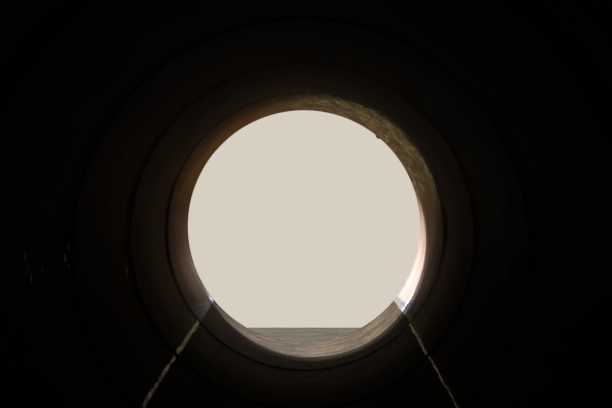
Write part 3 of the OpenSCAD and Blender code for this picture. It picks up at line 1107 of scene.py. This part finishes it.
def tide_crust(place, side):
    """A low broken ridge along the tide line on one wall of a pipe."""
    t = np.arange((place - 1) * L + 0.035, place * L - GAP - 0.030, 0.018)
    n = len(t)
    seed = 900 + 10 * place + (1 if side > 0 else 0)
    h = -0.472 - 0.009 * t
    along = np.stack([t * 2.6, np.full(n, 3.7 * place), np.full(n, side)], axis=1)
    fine = np.stack([t * 19.0, np.full(n, 5.1 * place), np.full(n, side)], axis=1)
    wander = 0.006 * fbm(along * 1.3, seed, 3)
    a0 = np.arcsin((h + wander + (0.0035 if side < 0 else 0.001)) / R)
    patchy = smooth(fbm(along * 2.2, seed + 3, 3), -0.45, 0.15)
    if place == 2 and side < 0:
        patchy = np.maximum(patchy, 0.75)
    end = np.clip(np.minimum(t - t[0], t[-1] - t) / 0.05, 0, 1)
    thick = (0.0020 + (0.0040 + 0.0020 * fbm(fine, seed + 5, 3)) * patchy) * end
    wide = (0.0024 + 0.0040 * patchy + 0.0018 * fbm(fine * 0.7, seed + 7, 3)) * (0.3 + 0.7 * end)
    wide = wide * (1.65 if side < 0 else 1.15) * (1.2 if place == 2 else 1.0)
    wide = np.clip(wide, 0.0012, None)
    ring, v = 10, []
    for k in range(ring):
        f = 2 * math.pi * k / ring
        u, d = math.cos(f), math.sin(f)
        lump = 1 + 0.20 * fbm(np.stack([t * 26.0, np.full(n, k * 0.9), np.full(n, place)], axis=1), seed + 9, 2)
        inward = np.where(d > 0, thick * lump * d, 0.006 * d) - 0.0018
        a = a0 + wide * u / R
        round_to = a if side > 0 else math.pi - a
        r = R - inward + settled(place, t - (place - 1) * L, round_to)
        v.append(np.stack([side * r * np.cos(a), OUT - t, AX + r * np.sin(a)], axis=1))
    v = np.stack(v, axis=1).reshape(-1, 3)
    faces = []
    for i in range(n - 1):
        for k in range(ring):
            k2 = (k + 1) % ring
            faces.append([i * ring + k, i * ring + k2, (i + 1) * ring + k2, (i + 1) * ring + k])
    quads = np.array(faces)
    turned_round = volume_of(v, quads) < 0
    if turned_round:
        faces = [f[::-1] for f in faces]
    first, last = list(range(ring)), [(n - 1) * ring + k for k in range(ring)]
    faces += [first if turned_round else first[::-1], last[::-1] if turned_round else last]
    name = f"tide_crust_{place}_{'right' if side > 0 else 'left'}"
    me = bpy.data.meshes.new(name)
    me.from_pydata([tuple(p) for p in v], [], faces)
    me.materials.append(SLIME)
    me.update()
    me.polygons.foreach_set("use_smooth", np.ones(len(me.polygons), bool))
    ob = bpy.data.objects.new(name, me)
    bpy.context.scene.collection.objects.link(ob)
    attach(ob, "root")


for place in range(2, 7):
    for side in (1, -1):
        tide_crust(place, side)


def lime_marks(name, marks, seed):
    """Drops of lime on the bore's wall. Each is a closed lens, given by its
    distance from the outlet, height from the axis, side, half width along the
    barrel, half height and thickness."""
    v, faces = [], []
    rows, cols = 7, 20
    for m, (t0, z0, side, half_t, half_z, thick) in enumerate(marks):
        base = len(v)
        a0 = math.asin(z0 / R)
        for k in range(rows):
            f = k / (rows - 1)
            for c in range(cols):
                b = 2 * math.pi * c / cols
                p = np.array([[math.cos(b) * 1.6, math.sin(b) * 1.6, 5.0 * m + seed]])
                wob = 1 + 0.45 * float(fbm(p, seed, 2)[0])
                # the outline, then rings closing over the top
                q = f * 0.98
                du, dv = (1 - q) * wob * math.cos(b), (1 - q) * wob * math.sin(b)
                lump = 1 + 0.4 * float(noise3(np.array([[du * 2.5 + m, dv * 2.5, seed]]), seed)[0])
                inward = -0.004 if k == 0 else thick * math.sqrt(max(0.0, 1 - (1 - q) ** 2)) * lump - 0.0012
                a = a0 + dv * half_z / R
                r = R - inward
                v.append((side * r * math.cos(a), OUT - t0 - du * half_t, AX + r * math.sin(a)))
        for k in range(rows - 1):
            for c in range(cols):
                c2 = (c + 1) % cols
                faces.append([base + k * cols + c, base + k * cols + c2, base + (k + 1) * cols + c2, base + (k + 1) * cols + c])
        faces.append([base + c for c in reversed(range(cols))])
        faces.append([base + (rows - 1) * cols + c for c in range(cols)])
        if side < 0:
            for i in range(len(faces) - (rows - 1) * cols - 2, len(faces)):
                faces[i] = faces[i][::-1]
    me = bpy.data.meshes.new(name)
    me.from_pydata(v, [], faces)
    me.materials.append(LIME)
    me.update()
    me.polygons.foreach_set("use_smooth", np.ones(len(me.polygons), bool))
    ob = bpy.data.objects.new(name, me)
    bpy.context.scene.collection.objects.link(ob)
    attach(ob, "root")


lime_marks("lime_marks_left", [
    (8.565, 0.000, -1, 0.030, 0.022, 0.005),
    (8.510, -0.032, -1, 0.016, 0.020, 0.003),
    (8.450, -0.063, -1, 0.030, 0.018, 0.005),
    (8.390, -0.112, -1, 0.018, 0.016, 0.003),
    (8.160, -0.050, -1, 0.022, 0.009, 0.003),
    (7.530, -0.030, -1, 0.036, 0.015, 0.005),
    (7.400, 0.006, -1, 0.026, 0.018, 0.003),
    (7.410, -0.058, -1, 0.020, 0.010, 0.002),
    (5.180, -0.134, -1, 0.034, 0.016, 0.004),
], 31)
lime_marks("lime_marks_right", [
    (6.500, -0.104, 1, 0.030, 0.018, 0.004),
    (6.580, -0.070, 1, 0.018, 0.012, 0.003),
    (9.900, -0.060, 1, 0.040, 0.030, 0.005),
    (9.830, -0.120, 1, 0.020, 0.022, 0.003),
], 37)

for place in range(1, 6):
    y_end = OUT - place * L
    y0 = RING_AT + 0.004
    y1 = y0 + 0.026
    x0, x1 = RO - RING_T, RS
    ob = turned(
        f"ring_seal_{place}",
        [
            (x0, y0, 0.0055, 0.35, [0.5], 0),
            (x1, y0, 0.0055, 0.35, [0.5], 0),
            (x1, y1, 0.0055, 0.35, [0.5], 0),
            (x0, y1, 0.0055, 0.35, [0.5], 0),
        ],
        240,
        y_end,
        [RUBBER],
    )
    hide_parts(f"joint_ring_{place}")
    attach(ob, "root")

headwall()


def collar_shape(a, r, t, e):
    p = np.stack([r * np.cos(a), r * np.sin(a), t], axis=-1).reshape(-1, 3)
    rough = fbm(p * 16.0, 71, 3).reshape(r.shape)
    wavy = noise3(p * 4.0, 72).reshape(r.shape)
    front = np.exp(-(((t - 0.008) / 0.02) ** 2))
    back = np.exp(-(((t - 0.300) / 0.02) ** 2))
    dent = 0.004 + 0.004 * rough + 0.004 * wavy
    return r, t + np.clip(dent, 0, None) * front - np.clip(dent, 0, None) * back


col = turned(
    "collar_of_mortar",
    [
        (RO, 0.008, 0.003, 0.3, even(9), 0),
        (RO, 0.300, 0.003, 0.3, even(3), 0),
        (COLLAR_R, 0.300, 0.003, 0.3, even(9), 0),
        (COLLAR_R, 0.008, 0.003, 0.3, even(4), 0),
    ],
    300,
    OUT,
    [MORTAR],
    collar_shape,
)
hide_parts("outlet_collar")
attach(col, "root")

# coping on the headwall
c_lo, c_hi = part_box("headwall_coping")
ch = 0.020
v, f = prism(
    [
        (c_lo.y, c_lo.z), (c_hi.y, c_lo.z), (c_hi.y, c_hi.z - ch), (c_hi.y - ch, c_hi.z),
        (c_lo.y + ch, c_hi.z), (c_lo.y, c_hi.z - ch),
    ],
    c_lo.x, c_hi.x, 0,
)
block("headwall_coping_bar", v, f, 0.016, COPING_M, "headwall_coping", "coping_concrete", seed=401, arris=0.006, chip=0.024)

# wing walls and their copings, made along their own length and turned
sa, ca = math.sin(SPLAY), math.cos(SPLAY)
wing_turn = math.pi / 2 - SPLAY


def wing_top(s):
    return hw_hi.z - (hw_hi.z - WING_END_H) * s / WING_L


def start_s(w, ahead=0.0):
    """Distance along the wall where the plane ahead of the stem's face cuts
    it, w being the distance outwards from its inner face."""
    return (w * sa + ahead) / ca


for side, flip in (("right", False), ("left", True)):
    # the wall: its start is cut square to the barrel
    s0, s1 = start_s(0.0), start_s(WING_T)
    low = [(s0, 0.0), (WING_L, 0.0), (WING_L, -WING_T), (s1, -WING_T)]
    v = [(s, w, 0.0) for s, w in low] + [(s, w, wing_top(s)) for s, w in low]
    f = [[3, 2, 1, 0], [4, 5, 6, 7], [0, 1, 5, 4], [1, 2, 6, 5], [2, 3, 7, 6], [3, 0, 4, 7]]
    block(
        f"wing_wall_of_the_{side}", v, f, 0.023, WING_M, f"wing_wall_{side}", "wall_concrete",
        angle=wing_turn, origin=(WING_START, OUT), seed=501 if flip else 521, flip=flip, quiet=(0, 1, 5),
    )
    e = WING_L + COPING_OVER
    ahead = COPING_OVER
    w0, w1 = COPING_OVER, -(WING_T + COPING_OVER)
    s0, s1 = start_s(-w0, ahead), start_s(-w1, ahead)
    low = [(s0, w0), (e, w0), (e, w1), (s1, w1)]
    v = [(s, w, wing_top(s)) for s, w in low] + [(s, w, wing_top(s) + WING_COPING_H) for s, w in low]
    block(
        f"coping_of_the_{side}_wing", v, f, 0.016, COPING_M, f"wing_coping_{side}", "coping_concrete",
        angle=wing_turn, origin=(WING_START, OUT), seed=601 if flip else 621, flip=flip, arris=0.010, chip=0.022, quiet=(5,),
    )

# apron and its toe
a_lo, a_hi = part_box("apron")
v, f = prism(
    [(-WING_START, a_lo.y), (WING_START, a_lo.y), (a_hi.x, a_hi.y), (a_lo.x, a_hi.y)],
    a_lo.z, a_hi.z, 2,
)
block("apron_slab", v, f, 0.030, APRON_M, "apron", "apron_concrete", seed=701, arris=0.008, chip=0.012, quiet=(2, 3, 5))
t_lo, t_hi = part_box("apron_toe")
v, f = prism([(t_lo.x, t_lo.y), (t_hi.x, t_lo.y), (t_hi.x, t_hi.y), (t_lo.x, t_hi.y)], t_lo.z, t_hi.z, 2)
block("toe_beam", v, f, 0.020, APRON_M, "apron_toe", "apron_concrete", seed=731, arris=0.010, chip=0.030)

# ---------------------------------------------------------------- studio
SKY = np.array([1.0, 0.940, 0.845]) * 0.57
SKY_AHEAD = np.array([1.06, 0.90, 0.60]) * 0.591
KEY, KEY_COLOUR = 3.0, np.array([1.0, 0.97, 0.92])
FLOOR = np.array([0.60, 0.575, 0.535])
light_dir = Vector((0.38, -1.0, -0.79)).normalized()

g = Mat("studio_floor")
floor_mat = g.finish(tuple(FLOOR), 1.0, gloss=0.0)
me = bpy.data.meshes.new("studio_floor")
me.from_pydata(
    [(-40, -50, -0.001), (40, -50, -0.001), (40, 9, -0.001), (-40, 9, -0.001)], [], [[0, 1, 2, 3]]
)
me.materials.append(floor_mat)
floor = bpy.data.objects.new("studio_floor", me)
bpy.context.scene.collection.objects.link(floor)

# The background has the floor's own brightness, so that neither a horizon nor
# the floor's edge shows.
lit = FLOOR * (KEY * KEY_COLOUR * -light_dir.z / math.pi + SKY)
world = bpy.data.worlds.new("studio")
bpy.context.scene.world = world
world.use_nodes = True
wt = world.node_tree
wt.nodes.clear()
sky = wt.nodes.new("ShaderNodeBackground")
# a little warmer from straight ahead of the outlet
where = wt.nodes.new("ShaderNodeTexCoord")
split = wt.nodes.new("ShaderNodeSeparateXYZ")
wt.links.new(where.outputs["Generated"], split.inputs[0])
ahead = wt.nodes.new("ShaderNodeMapRange")
ahead.interpolation_type = "SMOOTHSTEP"
ahead.inputs["From Min"].default_value = 0.848
ahead.inputs["From Max"].default_value = 0.985
wt.links.new(split.outputs[1], ahead.inputs["Value"])
tone = wt.nodes.new("ShaderNodeMix")
tone.data_type = "RGBA"
tone.inputs[6].default_value = (*SKY, 1.0)
tone.inputs[7].default_value = (*SKY_AHEAD, 1.0)
wt.links.new(ahead.outputs["Result"], tone.inputs[0])
wt.links.new(tone.outputs[2], sky.inputs["Color"])
plain = wt.nodes.new("ShaderNodeBackground")
plain.inputs["Color"].default_value = (*lit, 1.0)
path = wt.nodes.new("ShaderNodeLightPath")
mix = wt.nodes.new("ShaderNodeMixShader")
wout = wt.nodes.new("ShaderNodeOutputWorld")
wt.links.new(path.outputs["Is Camera Ray"], mix.inputs[0])
wt.links.new(sky.outputs[0], mix.inputs[1])
wt.links.new(plain.outputs[0], mix.inputs[2])
wt.links.new(mix.outputs[0], wout.inputs["Surface"])


def sun(name, energy, angle, colour, along):
    data = bpy.data.lights.new(name, "SUN")
    data.energy = energy
    data.angle = math.radians(angle)
    data.color = tuple(colour)
    ob = bpy.data.objects.new(name, data)
    ob.rotation_mode = "QUATERNION"
    ob.rotation_quaternion = along.to_track_quat("-Z", "Y")
    ob.location = (0, 10, 10)
    bpy.context.scene.collection.objects.link(ob)
    return ob


sun("key", KEY, 7.0, KEY_COLOUR, light_dir)
# The hard light that falls in at the outlet, and its bounce back up from below.
# Each is a beam as wide as the bore, the first on the last pipe only and the
# other on the last two.
last_pipe = bpy.data.collections.new("last_pipe")
last_pipe.objects.link(bpy.data.objects["culvert_pipe_1"])
last_two = bpy.data.collections.new("last_two")
for place in (1, 2):
    last_two.objects.link(bpy.data.objects[f"culvert_pipe_{place}"])
pipes_only = bpy.data.collections.new("pipes_only")
for place in range(1, 7):
    pipes_only.objects.link(bpy.data.objects[f"culvert_pipe_{place}"])


def beam(name, strength, spread, colour, along, away, onto):
    """Parallel light through the outlet, strength in W for each square metre
    square to it, from a lamp the given distance outside."""
    d = along.normalized()
    across = d.cross(Vector((0, 1, 0))).normalized()
    up = (-d).cross(across)
    data = bpy.data.lights.new(name, "AREA")
    data.shape = "ELLIPSE"
    data.size = 2 * (R - 0.008)
    data.size_y = data.size * abs(d.y)
    data.spread = math.radians(spread)
    data.energy = strength * math.pi * data.size * data.size_y / 4
    data.color = tuple(colour)
    ob = bpy.data.objects.new(name, data)
    place = Vector((0, OUT, AX)) - d * away
    ob.matrix_world = Matrix((
        (across.x, up.x, -d.x, place.x),
        (across.y, up.y, -d.y, place.y),
        (across.z, up.z, -d.z, place.z),
        (0, 0, 0, 1),
    ))
    ob.visible_camera = False
    ob.visible_glossy = False
    bpy.context.scene.collection.objects.link(ob)
    ob.light_linking.receiver_collection = onto
    ob.light_linking.blocker_collection = pipes_only
    return ob


beam("outlet_light", 15.4, 1.3, (1.0, 0.965, 0.955), Vector((0.435, -1.0, -0.905)), 0.9, last_pipe)
beam("outlet_bounce", 0.8, 9.0, (1.0, 0.95, 0.80), Vector((0.453, -1.0, 0.415)), 0.9, last_two)

# A portal in the outlet, so that the light from outside is found cleanly far
# down the barrel, and a shade five pipes in, out of the camera's sight, that
# keeps the light of the other end off the part that it looks at.
data = bpy.data.lights.new("outlet_portal", "AREA")
data.shape = "DISK"
data.size = 2 * R + 0.02
data.cycles.is_portal = True
portal = bpy.data.objects.new("outlet_portal", data)
portal.location = (0.0, OUT + 0.004, AX)
portal.rotation_mode = "QUATERNION"
portal.rotation_quaternion = Vector((0, -1, 0)).to_track_quat("-Z", "Y")
bpy.context.scene.collection.objects.link(portal)

me = bpy.data.meshes.new("inlet_shade")
ring = [math.tau * k / 96 for k in range(96)]
me.from_pydata(
    [((R + 0.002) * math.cos(a), OUT - 5 * L + 0.3, AX + (R + 0.002) * math.sin(a)) for a in ring],
    [],
    [list(range(96))],
)
g = Mat("inlet_shade")
me.materials.append(g.finish((0.0, 0.0, 0.0), 1.0, gloss=0.0))
shade = bpy.data.objects.new("inlet_shade", me)
shade.visible_camera = False
bpy.context.scene.collection.objects.link(shade)

cam_data = bpy.data.cameras.new("camera")
cam_data.lens = 134.7
cam_data.sensor_width = 36.0
cam_data.clip_start = 0.02
cam_data.clip_end = 2000.0
cam = bpy.data.objects.new("camera", cam_data)
cam.location = (0.023, OUT - 14.80, AX + 0.140)
focal = 2289.5
cam.rotation_euler = (math.pi / 2 + math.atan(0.8 / focal), 0.0, math.atan(1.6 / focal))
bpy.context.scene.collection.objects.link(cam)
bpy.context.scene.camera = cam

sc = bpy.context.scene
sc.view_settings.view_transform = "Standard"
sc.view_settings.look = "None"
sc.cycles.use_denoising = True
sc.cycles.max_bounces = 4
sc.cycles.diffuse_bounces = 3
sc.cycles.sample_clamp_indirect = 6.0
